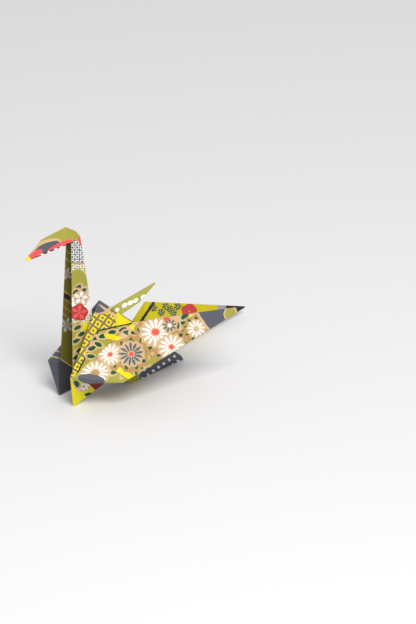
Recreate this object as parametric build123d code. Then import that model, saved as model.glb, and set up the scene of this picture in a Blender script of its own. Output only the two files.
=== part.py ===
from build123d import *
import os

# Origami crane folded from one square of patterned paper.
# Millimetres. X runs to the crane's own left side, the head points to -Y, Z is up.
# The origin is on the resting plane, straight below the peak of the hump.

# ---- paper ----
PAPER = 0.12            # one layer of the sheet
BODY_LAYERS = 6         # layers pressed together in a body panel
WING_LAYERS = 4         # layers in a wing
NECK_LAYERS = 4         # layers in each side of the neck
HEAD_LAYERS = 4
TAIL_LAYERS = 4
FLAP_LAYERS = 2         # narrow turned-in flaps under the wings
CREASE_SWELL = 1.2      # a crease is a little thicker than the panel beside it

# ---- body ----
HUMP_HEIGHT = 32.6
CHEST_HALF_WIDTH = 6.5      # widest corners of the front opening
CHEST_REACH = 15.5          # how far they stand in front of the hump
CHEST_HEIGHT = 12.6
RUMP_HALF_WIDTH = 6.5       # the same corners at the back
RUMP_REACH = 17.5
RUMP_HEIGHT = 15.5
FOOT_HALF_WIDTH = 4.2       # the two front points the crane stands on
FOOT_REACH = 13.2
HEEL_HALF_WIDTH = 2.8       # the two rear low points
HEEL_REACH = 10.6
STERN_REACH = 32.5          # rear end of the body, lying on the table
BELLY_HALF_WIDTH = 2.0      # where the front and rear creases meet under the body
BELLY_REACH = 1.6
BELLY_HEIGHT = 4.0
INNER_CREASE_HEIGHT = 6.5   # lowest point of the closed crease inside the body
INNER_CREASE_REACH = 8.0    # rear one; the front one is the foot of the neck

# ---- neck ----
NECK_FOOT_HEIGHT = 6.5
NECK_TOP_HEIGHT = 59.0
NECK_LEAN = 7.4             # how far the top stands in front of the foot
NECK_MOUTH_REACH = 11.2     # free edges of the neck at the top
NECK_MOUTH_HALF_WIDTH = 1.4
NECK_MOUTH_HEIGHT = 58.8

# ---- head ----
CROWN_REACH = 12.6
CROWN_HEIGHT = 63.8
NAPE_REACH = 9.0
NAPE_HEIGHT = 61.3
BROW_REACH = 21.7
BROW_HEIGHT = 62.2
BEAK_REACH = 27.8
BEAK_HEIGHT = 56.9
JAW_REACH = 13.9
JAW_HEIGHT = 58.9
CHIN_REACH = 22.3
CHIN_HEIGHT = 57.9
JAW_HALF_WIDTH = 1.6

# ---- tail ----
TAIL_TIP_REACH = 21.5
TAIL_TIP_HEIGHT = 32.4
TAIL_RIDGE_REACH = 16.5
TAIL_RIDGE_HEIGHT = 31.2
TAIL_ROOT_REACH = 4.0
TAIL_ROOT_HEIGHT = 28.6
TAIL_HALF_WIDTH = 2.0
TAIL_EDGE_REACH = 13.9
TAIL_EDGE_HEIGHT = 29.0
TAIL_ROOT_EDGE_REACH = 4.6
TAIL_ROOT_EDGE_HEIGHT = 26.0

# ---- left wing, spread ----
WING_FOLD_ON_RIDGE = 0.565  # where its soft fold starts, as a share of the ridge
WING_ELBOW_SPAN = 8.5       # short front edge beside the chest
WING_ELBOW_REACH = 12.8
WING_ELBOW_HEIGHT = 10.7
WING_FRONT_SPAN = 16.0      # front corner
WING_FRONT_REACH = 2.0
WING_FRONT_HEIGHT = 10.9
WING_TIP_SPAN = 26.0
WING_TIP_REACH = 38.7
WING_TIP_HEIGHT = 30.1
WING_BACK_SPAN = 11.5       # rear corner
WING_BACK_REACH = 23.4
WING_BACK_HEIGHT = 25.1

# ---- right wing, swept back ----
FAR_ROOT_SPAN = 5.0
FAR_ROOT_REACH = 11.4
FAR_ROOT_HEIGHT = 12.2
FAR_FRONT_SPAN = 19.0
FAR_FRONT_REACH = 30.6
FAR_FRONT_HEIGHT = 13.3
FAR_TIP_SPAN = 12.5
FAR_TIP_REACH = 65.7
FAR_TIP_HEIGHT = 3.0
FAR_BACK_SPAN = 3.2
FAR_BACK_REACH = 33.9
FAR_BACK_HEIGHT = 6.5
FAR_HEEL_REACH = 19.4

BODY = PAPER * BODY_LAYERS
WING = PAPER * WING_LAYERS
NECK = PAPER * NECK_LAYERS
HEAD = PAPER * HEAD_LAYERS
TAIL = PAPER * TAIL_LAYERS
FLAP = PAPER * FLAP_LAYERS


def panel(thickness, *corners):
    """A flat facet of the folded sheet, half its thickness on each side."""
    face = Face(Wire.make_polygon([Vector(*c) for c in corners], close=True))
    direction = face.normal_at()
    lower = face.moved(Location(direction * (-thickness / 2)))
    return Solid.extrude(lower, direction * thickness)


def crease(thickness, start, end):
    """The rounded edge where the sheet turns over."""
    a, b = Vector(*start), Vector(*end)
    radius = thickness * CREASE_SWELL / 2
    plane = Plane(origin=a, z_dir=b - a)
    rod = Solid.make_cylinder(radius, (b - a).length, plane)
    return rod


def knot(thickness, point):
    """The small rounded lump of paper where creases meet."""
    return Solid.make_sphere(thickness * CREASE_SWELL * 0.53, Plane(origin=Vector(*point)),
                             angle1=-90, angle2=90, angle3=360)


def facets(thickness, *outlines):
    """Panels with a crease along every edge of each outline."""
    solids = []
    edges = set()
    points = set()
    for outline in outlines:
        solids.append(panel(thickness, *outline))
        for i, corner in enumerate(outline):
            following = outline[(i + 1) % len(outline)]
            edges.add(tuple(sorted((corner, following))))
            points.add(corner)
    solids += [crease(thickness, a, b) for a, b in sorted(edges)]
    solids += [knot(thickness, p) for p in sorted(points)]
    return solids


def mirrored(point):
    return (-point[0], point[1], point[2])


def between(start, end, share):
    return tuple(a + (b - a) * share for a, b in zip(start, end))


hump = (0.0, 0.0, HUMP_HEIGHT)
chest = (CHEST_HALF_WIDTH, -CHEST_REACH, CHEST_HEIGHT)
rump = (RUMP_HALF_WIDTH, RUMP_REACH, RUMP_HEIGHT)
standing = BODY * CREASE_SWELL * 0.53
foot = (FOOT_HALF_WIDTH, -FOOT_REACH, standing)
heel = (HEEL_HALF_WIDTH, HEEL_REACH, standing)
stern = (0.0, STERN_REACH, standing)
belly = (BELLY_HALF_WIDTH, BELLY_REACH, BELLY_HEIGHT)
neck_foot = (0.0, 0.0, NECK_FOOT_HEIGHT)
inner_crease = (0.0, INNER_CREASE_REACH, INNER_CREASE_HEIGHT)


def body_side(side):
    """One outer panel of the body with the turned-in panels behind its edges."""
    c, r, f, h, b = side(chest), side(rump), side(foot), side(heel), side(belly)
    outer = [(hump, c, r), (c, b, r), (c, f, b), (r, b, h), (r, h, stern)]
    inner = [(hump, c, neck_foot), (hump, r, inner_crease)]
    floor = [(b, f, neck_foot), (b, h, inner_crease)]
    return facets(BODY, *outer) + facets(BODY * 0.6, *inner, *floor)


def neck():
    top = (0.0, -NECK_LEAN, NECK_TOP_HEIGHT)
    solids = []
    for side in (tuple, mirrored):
        mouth = side((NECK_MOUTH_HALF_WIDTH, -NECK_MOUTH_REACH, NECK_MOUTH_HEIGHT))
        solids += facets(NECK, (neck_foot, side(foot), mouth), (neck_foot, mouth, top))
    return solids


def head():
    crown = (0.0, -CROWN_REACH, CROWN_HEIGHT)
    nape = (0.0, -NAPE_REACH, NAPE_HEIGHT)
    brow = (0.0, -BROW_REACH, BROW_HEIGHT)
    beak = (0.0, -BEAK_REACH, BEAK_HEIGHT)
    top = (0.0, -NECK_LEAN, NECK_TOP_HEIGHT)
    solids = []
    for side in (tuple, mirrored):
        jaw = side((JAW_HALF_WIDTH, -JAW_REACH, JAW_HEIGHT))
        chin = side((JAW_HALF_WIDTH * 0.75, -CHIN_REACH, CHIN_HEIGHT))
        mouth = side((NECK_MOUTH_HALF_WIDTH, -NECK_MOUTH_REACH, NECK_MOUTH_HEIGHT))
        solids += facets(HEAD, (nape, crown, jaw), (nape, jaw, mouth), (nape, mouth, top))
        solids += facets(HEAD, (crown, brow, jaw), (brow, chin, jaw), (brow, beak, chin))
    return solids


def tail():
    tip = (0.0, TAIL_TIP_REACH, TAIL_TIP_HEIGHT)
    ridge = (0.0, TAIL_RIDGE_REACH, TAIL_RIDGE_HEIGHT)
    root = (0.0, TAIL_ROOT_REACH, TAIL_ROOT_HEIGHT)
    solids = []
    for side in (tuple, mirrored):
        edge = side((TAIL_HALF_WIDTH, TAIL_EDGE_REACH, TAIL_EDGE_HEIGHT))
        root_edge = side((TAIL_HALF_WIDTH, TAIL_ROOT_EDGE_REACH, TAIL_ROOT_EDGE_HEIGHT))
        solids += facets(TAIL, (tip, ridge, edge), (ridge, root, edge), (root, root_edge, edge))
        solids += facets(TAIL, (root, root_edge, inner_crease))
    return solids


def left_wing():
    fold_back = between(hump, rump, WING_FOLD_ON_RIDGE)
    elbow = (WING_ELBOW_SPAN, -WING_ELBOW_REACH, WING_ELBOW_HEIGHT)
    front = (WING_FRONT_SPAN, -WING_FRONT_REACH, WING_FRONT_HEIGHT)
    tip = (WING_TIP_SPAN, WING_TIP_REACH, WING_TIP_HEIGHT)
    back = (WING_BACK_SPAN, WING_BACK_REACH, WING_BACK_HEIGHT)
    return facets(WING, (chest, elbow, front), (chest, front, fold_back),
                  (fold_back, front, tip), (fold_back, tip, back))


def right_wing():
    root = (-FAR_ROOT_SPAN, FAR_ROOT_REACH, FAR_ROOT_HEIGHT)
    front = (-FAR_FRONT_SPAN, FAR_FRONT_REACH, FAR_FRONT_HEIGHT)
    tip = (-FAR_TIP_SPAN, FAR_TIP_REACH, FAR_TIP_HEIGHT)
    back = (-FAR_BACK_SPAN, FAR_BACK_REACH, FAR_BACK_HEIGHT)
    keel = (-FAR_ROOT_SPAN, FAR_HEEL_REACH, FAR_BACK_HEIGHT)
    return facets(WING, (root, front, keel), (front, back, keel), (front, tip, back),
                  (root, keel, mirrored(rump)))


def crane():
    pieces = body_side(tuple) + body_side(mirrored)
    pieces += neck() + head() + tail() + left_wing() + right_wing()
    sheet = pieces[0].fuse(*pieces[1:])
    return sheet.solids()[0] if len(sheet.solids()) == 1 else sheet


os.makedirs("parts", exist_ok=True)
folded_crane = crane()
print("solids", len(folded_crane.solids()), "volume", round(folded_crane.volume, 1), folded_crane.bounding_box())
export_step(folded_crane, "parts/folded_crane.step")
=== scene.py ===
import math
import bpy
import bmesh
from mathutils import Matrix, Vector
from mathutils.geometry import closest_point_on_tri


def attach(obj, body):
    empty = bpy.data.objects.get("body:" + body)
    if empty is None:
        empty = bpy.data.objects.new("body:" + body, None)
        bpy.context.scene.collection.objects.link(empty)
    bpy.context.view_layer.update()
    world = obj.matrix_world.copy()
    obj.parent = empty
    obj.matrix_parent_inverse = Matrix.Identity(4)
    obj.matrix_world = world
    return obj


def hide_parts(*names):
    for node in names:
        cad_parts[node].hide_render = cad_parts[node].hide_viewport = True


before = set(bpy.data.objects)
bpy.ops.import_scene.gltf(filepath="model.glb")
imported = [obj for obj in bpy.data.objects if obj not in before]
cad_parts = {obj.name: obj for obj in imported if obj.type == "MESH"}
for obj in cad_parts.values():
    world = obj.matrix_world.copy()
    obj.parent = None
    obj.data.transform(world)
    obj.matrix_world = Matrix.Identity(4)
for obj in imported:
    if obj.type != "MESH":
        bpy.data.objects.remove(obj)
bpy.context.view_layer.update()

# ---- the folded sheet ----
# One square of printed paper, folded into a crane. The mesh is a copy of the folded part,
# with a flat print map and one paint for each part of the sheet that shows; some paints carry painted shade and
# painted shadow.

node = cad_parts["folded_crane"]
sheet = node.copy()
sheet.data = node.data.copy()
sheet.name = "folded_sheet"
bpy.context.collection.objects.link(sheet)
mesh = sheet.data
mesh.materials.clear()

turn, rise = math.radians(35), math.radians(30)


def lay(p):
    """Where a point of the crane falls on the print, in millimetres from the hump."""
    x, y, z = p[0] * 1000, p[1] * 1000, p[2] * 1000 - 32.6
    along = y * math.cos(turn) + x * math.sin(turn)
    up = z * math.cos(rise) + (y * math.sin(turn) - x * math.cos(turn)) * math.sin(rise)
    return along, up


while mesh.uv_layers:
    mesh.uv_layers.remove(mesh.uv_layers[0])
print_map = mesh.uv_layers.new(name="print")
for loop in mesh.loops:
    print_map.data[loop.index].uv = lay(mesh.vertices[loop.vertex_index].co)

hump, neck_foot, inner = (0, 0, 32.6), (0, 0, 6.5), (0, 8, 6.5)
stern, tip_l, tip_r = (0, 32.5, 0.5), (26, 38.7, 30.1), (-12.5, 65.7, 3)
neck_top, fold_back = (0, -7.4, 59), (3.67, 9.9, 22.9)


def corner(side, x, y, z):
    return (side * x, y, z)


regions = []
for side in (1, -1):
    chest, rump = corner(side, 6.5, -15.5, 12.6), corner(side, 6.5, 17.5, 15.5)
    foot, heel = corner(side, 4.2, -13.2, 0.5), corner(side, 2.8, 10.6, 0.5)
    belly, mouth = corner(side, 2, 1.6, 4), corner(side, 1.4, -11.2, 58.8)
    jaw, chin = corner(side, 1.6, -13.9, 58.9), corner(side, 1.2, -22.3, 57.9)
    edge, root_edge = corner(side, 2, 13.9, 29), corner(side, 2, 4.6, 26)
    # The far-side flank and foot and the crevice faces by the neck and tail get charcoal painted shade.
    flank = "flank" if side > 0 else "painted_shade"
    regions += [(flank, hump, chest, rump), ("foot" if side > 0 else "painted_shade", chest, foot, belly),
                ("strip", rump, belly, heel), ("strip", rump, heel, stern),
                (flank, chest, belly, rump), ("painted_shade", hump, chest, neck_foot),
                ("painted_shade", hump, rump, inner), ("strip", belly, heel, inner)]
    name = "neck_left" if side > 0 else "neck_right"
    regions += [(name, neck_foot, foot, mouth), (name, neck_foot, mouth, neck_top)]
    nape, crown, brow, beak = (0, -9, 61.3), (0, -12.6, 63.8), (0, -21.7, 62.2), (0, -27.8, 56.9)
    regions += [("head", nape, crown, jaw), ("head", nape, jaw, mouth), ("head", nape, mouth, neck_top),
                ("head", crown, brow, jaw), ("head", brow, chin, jaw), ("head", brow, beak, chin)]
    tail_tip, ridge, root = (0, 21.5, 32.4), (0, 16.5, 31.2), (0, 4, 28.6)
    regions += [("tail", tail_tip, ridge, edge), ("tail", ridge, root, edge), ("tail", root, root_edge, edge)]
chest, elbow, front = (6.5, -15.5, 12.6), (8.5, -12.8, 10.7), (16, -2, 10.9)
back = (11.5, 23.4, 25.1)
regions += [("wing", chest, elbow, front), ("wing", chest, front, fold_back),
            ("wing", fold_back, front, tip_l), ("wing", fold_back, tip_l, back)]
root_r, front_r, keel = (-5, 11.4, 12.2), (-19, 30.6, 13.3), (-5, 19.4, 6.5)
back_r = (-3.2, 33.9, 6.5)
regions += [("far_wing", root_r, front_r, keel), ("far_wing", front_r, back_r, keel),
            ("far_wing", front_r, tip_r, back_r)]

names = ["wing", "flank", "foot", "strip", "painted_shade", "neck_left", "neck_right", "head", "tail", "far_wing"]
corners = [(names.index(r[0]), [Vector(c) / 1000 for c in r[1:]]) for r in regions]
for face in mesh.polygons:
    best = min(corners, key=lambda r: (closest_point_on_tri(face.center, *r[1]) - face.center).length)
    face.material_index = best[0]

OLIVE, YELLOW, CHARCOAL = (0.36, 0.33, 0.045), (0.80, 0.68, 0.0), (0.09, 0.095, 0.12)
CORAL, WHITE, CREAM = (0.82, 0.085, 0.09), (0.86, 0.85, 0.82), (0.62, 0.43, 0.22)
GREEN, LATTICE, GOLD = (0.004, 0.075, 0.022), (0.23, 0.16, 0.085), (0.45, 0.27, 0.09)
# the dark olive is the print's olive in painted shade
SLATE, SHADED_OLIVE, BLACK = (0.10, 0.125, 0.15), (0.12, 0.105, 0.008), (0.012, 0.012, 0.014)


class Paint:
    """One printed paper, with any painted shade in it: fields and shapes laid over a ground, each one after the last.
    """

    def __init__(self, name, ground):
        self.material = bpy.data.materials.new(name)
        self.material.use_nodes = True
        self.nodes, self.links = self.material.node_tree.nodes, self.material.node_tree.links
        self.shader = self.nodes["Principled BSDF"]
        uv = self.nodes.new("ShaderNodeUVMap")
        uv.uv_map = "print"
        wobble = self.nodes.new("ShaderNodeTexNoise")
        wobble.inputs["Scale"].default_value = 0.9
        self.links.new(uv.outputs[0], wobble.inputs["Vector"])
        shift = self.vector("MULTIPLY_ADD", wobble.outputs["Color"], (0.6, 0.6, 0), (-0.3, -0.3, 0))
        self.place = self.vector("ADD", uv.outputs[0], shift)
        self.colour = None
        self.ground = ground

    def vector(self, kind, *values):
        n = self.nodes.new("ShaderNodeVectorMath")
        n.operation = kind
        for socket, value in zip(n.inputs, values):
            if hasattr(value, "is_output"):
                self.links.new(value, socket)
            else:
                socket.default_value = value
        return n.outputs["Value"] if kind in ("LENGTH", "DOT_PRODUCT") else n.outputs[0]

    def math(self, kind, *values):
        n = self.nodes.new("ShaderNodeMath")
        n.operation = kind
        for socket, value in zip(n.inputs, values):
            if hasattr(value, "is_output"):
                self.links.new(value, socket)
            else:
                socket.default_value = value
        return n.outputs[0]

    def lay(self, mask, colour):
        n = self.nodes.new("ShaderNodeMix")
        n.data_type = "RGBA"
        self.links.new(mask, n.inputs[0])
        if self.colour is None:
            n.inputs[6].default_value = (*self.ground, 1)
        else:
            self.links.new(self.colour, n.inputs[6])
        n.inputs[7].default_value = (*colour, 1)
        self.colour = n.outputs[2]

    def local(self, at, angle, rx, ry):
        c, s = math.cos(angle), math.sin(angle)
        d = self.vector("SUBTRACT", self.place, (at[0], at[1], 0))
        x = self.vector("DOT_PRODUCT", d, (c / rx, s / rx, 0))
        y = self.vector("DOT_PRODUCT", d, (-s / ry, c / ry, 0))
        return x, y

    def blob(self, at, rx, ry, colour, angle=0.0, rim=None):
        x, y = self.local(at, math.radians(angle), rx, ry)
        r = self.math("SQRT", self.math("ADD", self.math("MULTIPLY", x, x), self.math("MULTIPLY", y, y)))
        if rim:
            self.lay(self.math("LESS_THAN", r, 1 + 0.45 / min(rx, ry)), rim)
        self.lay(self.math("LESS_THAN", r, 1.0), colour)

    def band(self, at, half, colour, angle=0.0):
        x, y = self.local(at, math.radians(angle), half, half)
        self.lay(self.math("LESS_THAN", self.math("ABSOLUTE", y), 1.0), colour)

    def beyond(self, at, colour, angle=0.0):
        x, y = self.local(at, math.radians(angle), 1, 1)
        self.lay(self.math("GREATER_THAN", y, 0.0), colour)

    def wedge(self, at, first, second, colour):
        a = self.local(at, math.radians(first), 1, 1)[1]
        b = self.local(at, math.radians(second), 1, 1)[1]
        self.lay(self.math("GREATER_THAN", self.math("MINIMUM", a, b), 0.0), colour)

    def flower(self, at, radius, petals, colour, heart, inner=0.28, tall=1.0, rim=CREAM):
        x, y = self.local(at, 0.2, radius, radius * tall)
        r = self.math("SQRT", self.math("ADD", self.math("MULTIPLY", x, x), self.math("MULTIPLY", y, y)))
        wave = self.math("COSINE", self.math("MULTIPLY", self.math("ARCTAN2", y, x), float(petals)))
        self.lay(self.math("LESS_THAN", r, self.math("MULTIPLY_ADD", wave, 0.06, 1.04)), rim)
        reach = self.math("MULTIPLY_ADD", wave, 0.22, 0.72)
        petal = self.math("MULTIPLY", self.math("LESS_THAN", r, reach), self.math("GREATER_THAN", wave, -0.5))
        petal = self.math("MULTIPLY", petal, self.math("GREATER_THAN", r, inner))
        self.lay(petal, colour)
        self.lay(self.math("LESS_THAN", r, inner * 0.7), heart)

    def grid(self, pitch, fill, colour, angle=0.0, hole=0.0):
        x, y = self.local((0, 0), math.radians(angle), pitch, pitch)
        fx = self.math("ABSOLUTE", self.math("SUBTRACT", self.math("FRACT", x), 0.5))
        fy = self.math("ABSOLUTE", self.math("SUBTRACT", self.math("FRACT", y), 0.5))
        m = self.math("MAXIMUM", fx, fy)
        mask = self.math("LESS_THAN", m, fill)
        if hole:
            mask = self.math("MULTIPLY", mask, self.math("GREATER_THAN", m, hole))
        self.lay(mask, colour)

    def finish(self):
        if self.colour is None:
            self.shader.inputs["Base Color"].default_value = (*self.ground, 1)
        else:
            self.links.new(self.colour, self.shader.inputs["Base Color"])
        self.shader.inputs["Roughness"].default_value = 0.55
        self.shader.inputs["Specular IOR Level"].default_value = 0.35
        grain = self.nodes.new("ShaderNodeTexNoise")
        grain.inputs["Scale"].default_value = 2600
        where = self.nodes.new("ShaderNodeTexCoord")
        self.links.new(where.outputs["Object"], grain.inputs["Vector"])
        bump = self.nodes.new("ShaderNodeBump")
        bump.inputs["Strength"].default_value = 0.12
        bump.inputs["Distance"].default_value = 0.00005
        self.links.new(grain.outputs[0], bump.inputs["Height"])
        self.links.new(bump.outputs[0], self.shader.inputs["Normal"])
        mesh.materials.append(self.material)


p = Paint("wing print", OLIVE)
for at, rx, ry, a in (((7, -7.5), 11, 5, 20), ((24, -9), 12, 9, 15), ((31, -7), 9, 6, 20)):
    p.blob(at, rx, ry, CREAM, a)
for at, a in (((-2, -12), 60), ((-1, -16), 20), ((1, -19), -30), ((-0.5, -22), -20), ((7, -9.2), 20), ((9, -10), -10),
              ((11.5, -9.8), 10), ((13.6, -13), 50), ((15.8, -14.6), -40), ((14.6, -17), -60), ((12, -22), 80),
              ((8, -23), 60), ((5, -22.5), 30), ((16.5, -21.5), 20), ((25, -8), 70), ((26.5, -10), 30),
              ((27.5, -7.2), -30), ((24.5, -11), 60), ((27.5, -4.6), 40), ((20, -20), 20), ((3, -11), 70),
              ((29.5, -12), -40), ((13, -20.6), -50), ((36, -6), -50)):
    p.blob(at, 1.5, 0.75, GREEN, a, CREAM)
p.blob((4.5, -11.6), 3.2, 0.9, YELLOW, -15)
p.band((7.5, -23), 1.1, OLIVE, -38)
p.blob((8.5, -23.3), 5.2, 1.0, YELLOW, -33)
p.blob((11.5, -9), 3, 0.8, YELLOW, -42)
p.blob((16, -15.5), 1.6, 0.7, YELLOW, 10)
p.blob((29.6, -5.6), 1.0, 1.4, YELLOW, 0)
for at, r in (((3.4, -17), 5.0), ((10.2, -16.9), 5.6), ((18, -9.8), 6.4), ((23.2, -14.6), 5.8), ((31.2, -8.7), 4.2)):
    p.flower(at, r, 9, GREEN, OLIVE, 0.5, 1.0, GOLD)
p.flower((3.4, -17), 3.8, 13, WHITE, CORAL, 0.26, 0.95)
p.flower((10.2, -16.9), 4.3, 13, SLATE, CORAL, 0.26, 0.95)
p.flower((18, -9.8), 5.0, 14, WHITE, CORAL, 0.3, 0.95)
p.flower((23.2, -14.6), 4.4, 13, WHITE, CORAL, 0.24, 0.95)
p.flower((31.2, -8.7), 3.0, 11, WHITE, CREAM, 0.3)
p.flower((22.6, -7.6), 2.4, 9, SLATE, WHITE, 0.35)
p.blob((21.7, -5.6), 1.0, 0.6, CORAL)
p.blob((-1, -21.8), 4.6, 2.6, CREAM, 0)
p.flower((-1.4, -23), 4.8, 15, WHITE, GOLD, 0.35, 0.8)
p.blob((-2.6, -25), 4.4, 1.7, CHARCOAL, -8)
p.beyond((32.4, -5.5), CREAM, -56)
p.beyond((33.0, -5.2), CHARCOAL, -56)
p.blob((42.3, -4), 1.8, 2.2, OLIVE, 0, CREAM)
p.beyond((44.4, -3), BLACK, -80)
p.finish()

p = Paint("flank print", LATTICE)
p.grid(2.5, 0.36, YELLOW, 55, 0.17)
p.blob((12.5, -7.5), 8, 5, YELLOW, -28)
p.blob((-0.5, -1.0), 3.6, 2.6, CHARCOAL, 0, CREAM)
p.blob((3, -3.2), 4, 0.4, CREAM, -36)
# the thin black rim left around the olive wedge is painted shadow in the crevice between wing and flank
p.wedge((-0.5, -9.1), 244, 192, BLACK)
p.wedge((-0.2, -9.5), 244, 192, OLIVE)
for at, a in (((-1.6, -12.4), 60), ((-2.4, -15), 20), ((-2.8, -17.6), -10), ((1, -11.2), 10), ((-0.4, -13.8), -30),
              ((4, -9.8), 10), ((7.4, -9), 20), ((9, -10), -10)):
    p.blob(at, 1.3, 0.65, GREEN, a, CREAM)
p.blob((4.5, -11.6), 3.2, 0.9, YELLOW, -15)
p.finish()

p = Paint("foot print", YELLOW)
p.flower((-5.2, -27.4), 2.2, 7, WHITE, GOLD, 0.2, 0.8)
p.blob((-7.4, -26.5), 0.8, 1.2, GREEN, 30, CREAM)
p.blob((-3.8, -30), 1.2, 0.6, GREEN, 10)
# dark red corner: the red of the parts behind the foot, darkened as painted shade
p.beyond((-2.4, -28), (0.22, 0.015, 0.02), -45)
p.finish()

p = Paint("tail base print", CHARCOAL)
p.grid(2.1, 0.2, WHITE, 35)
p.beyond((11.5, -24.5), CHARCOAL, 60)
p.blob((10.6, -25), 2.2, 1.8, OLIVE, 25)
p.finish()

# Charcoal painted shade for the far side and the crevices; two cream lines are drawn over it.
p = Paint("painted shade on far side and inside", CHARCOAL)
p.band((-15.6, -15.6), 0.2, CREAM, -14)
p.band((-15.6, -17.6), 0.2, CREAM, -14)
p.finish()

p = Paint("neck left print", OLIVE)
p.beyond((-7, 12.6), CHARCOAL, 0)
p.grid(1.5, 0.4, WHITE, 0, 0.2)
p.beyond((-7, 20.3), CORAL, -60)
p.blob((-6.6, 6), 3, 4.3, OLIVE)
p.band((-6, 12.4), 0.2, GOLD, 0)
p.blob((-6.3, -1.5), 4, 3.2, WHITE, 0)
for at in ((-6.6, 4.5), (-5, 3.6), (-7.5, 3), (-7, -7.6), (-5.2, -9), (-7.6, -11), (-6.4, -13), (-5.6, -15)):
    p.blob(at, 1.1, 0.6, GREEN, 40, CREAM)
p.flower((-5.8, 1.2), 2.3, 5, WHITE, GOLD, 0.2)
p.flower((-6.4, -3.4), 2.6, 5, CORAL, GOLD, 0.14, 1, (0.45, 0.03, 0.03))
p.beyond((-6, -7.2), OLIVE, 180)
p.blob((-4.6, -8.6), 1.6, 2, YELLOW, 20)
for at in ((-7, -8.4), (-5.8, -10.5), (-7.4, -12.6), (-6.4, -15.6), (-7.6, -18)):
    p.blob(at, 1.2, 0.6, GREEN, 30, CREAM)
p.finish()

# The far neck face lies in shade inside the neck's groove: its olive ground is darkened, painted shade.
p = Paint("neck right print in painted shade", SHADED_OLIVE)
for i in range(9):
    p.band((-10.5, 16.4 - i * 2.6 - (3 if i > 3 else 0)), 0.11, GOLD, -38)
p.flower((-10.2, 9), 2.2, 6, (0.34, 0.33, 0.3), GOLD, 0.2, 1, SHADED_OLIVE)
p.flower((-10.6, -7.5), 2.6, 6, (0.36, 0.35, 0.32), GOLD, 0.2, 1, SHADED_OLIVE)
p.blob((-10.6, 1.6), 1.6, 0.8, BLACK, -20)
p.blob((-10.5, -15), 3.2, 4.0, SHADED_OLIVE)
p.beyond((-11, -19.6), CREAM, 145)
p.beyond((-11, -19.9), (0.035, 0.037, 0.045), 145)
p.finish()

p = Paint("head print", OLIVE)
p.blob((-16.5, 17.2), 5.2, 2.3, CREAM, 22)
p.blob((-16.0, 17.2), 4.2, 1.5, CHARCOAL, 22)
p.blob((-12, 17.8), 4.4, 0.9, CORAL, 26)
p.blob((-19.6, 15.2), 2.4, 0.9, CORAL, 30)
p.beyond((-14.8, 16.3), BLACK, 203)
for at in ((-17.6, 14.9), (-15.6, 15.7), (-13.4, 16.7), (-11.6, 17.4)):
    p.blob(at, 0.55, 0.22, WHITE, 20)
p.beyond((-21.6, 14), YELLOW, 130)
p.finish()

p = Paint("tail print", OLIVE)
for at in ((14, 1.6), (11.5, 0.4), (8, -1.2), (5.5, -2.8), (9.8, -0.4)):
    p.blob(at, 1.0, 0.6, WHITE, 40)
p.finish()

# The far wing lies in shade: its yellow ground is darker than the print's yellow, painted shade.
p = Paint("far wing print in painted shade", (0.55, 0.46, 0.0))
for at in ((17, -2), (19.5, -3.5), (21, -1.5), (23.5, -3.6), (25, -1.6), (22.4, -2.4)):
    p.flower(at, 1.3, 6, (0.02, 0.06, 0.05), (0.2, 0.2, 0.2), 0.2, 1, (0.4, 0.33, 0.02))
p.flower((28.8, -3), 2.4, 5, (0.5, 0.04, 0.04), GOLD, 0.2, 1, (0.5, 0.04, 0.04))
# black band: painted shadow cast by the near wing's edge onto the far wing
p.band((14.2, -4.5), 0.45, BLACK, 57)
p.beyond((38, -1.5), (0.3, 0.3, 0.3), -80)
p.beyond((41, -1.5), BLACK, -80)
p.finish()

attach(sheet, "root")
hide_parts("folded_crane")

# ---- cloth and light ----
# A flat white cloth lies under the crane, in soft window light.

bpy.ops.mesh.primitive_plane_add(size=6, location=(0, 0, 0))
floor = bpy.context.object
floor.name = "white_cloth"
cloth = bpy.data.materials.new("white cloth")
cloth.use_nodes = True
cloth.node_tree.nodes["Principled BSDF"].inputs["Base Color"].default_value = (0.80, 0.79, 0.785, 1)
cloth.node_tree.nodes["Principled BSDF"].inputs["Roughness"].default_value = 0.9
floor.data.materials.append(cloth)

world = bpy.data.worlds.new("room")
bpy.context.scene.world = world
world.use_nodes = True
world.node_tree.nodes["Background"].inputs[0].default_value = (0.97, 0.98, 1, 1)
world.node_tree.nodes["Background"].inputs[1].default_value = 0.57


def lamp(name, place, size, watts):
    bpy.ops.object.light_add(type="AREA", location=place)
    light = bpy.context.object
    light.name = name
    light.data.size = size
    light.data.energy = watts
    light.rotation_euler = (Vector((0, 0.01, 0.02)) - Vector(place)).to_track_quat("-Z", "Y").to_euler()


lamp("window", (0.5, -0.15, 0.75), 0.35, 6.0)

toward = Vector((math.cos(turn) * math.cos(rise), -math.sin(turn) * math.cos(rise), math.sin(rise)))
right = Vector((math.sin(turn), math.cos(turn), 0))
upward = toward.cross(right).normalized()
aim = Vector((0, 0, 0.0326)) + right * ((208 - 99.5) / 3100) + upward * (-(312 - 301.7) / 3100)
camera = bpy.data.objects.new("camera", bpy.data.cameras.new("camera"))
bpy.context.collection.objects.link(camera)
distance = 1.6
camera.location = aim + toward * distance
camera.rotation_euler = toward.to_track_quat("Z", "Y").to_euler()
camera.data.sensor_fit = "VERTICAL"
camera.data.sensor_height = 24
camera.data.lens = 24 * distance / (624 / 3100)
bpy.context.scene.camera = camera
bpy.context.scene.view_settings.view_transform = "Standard"
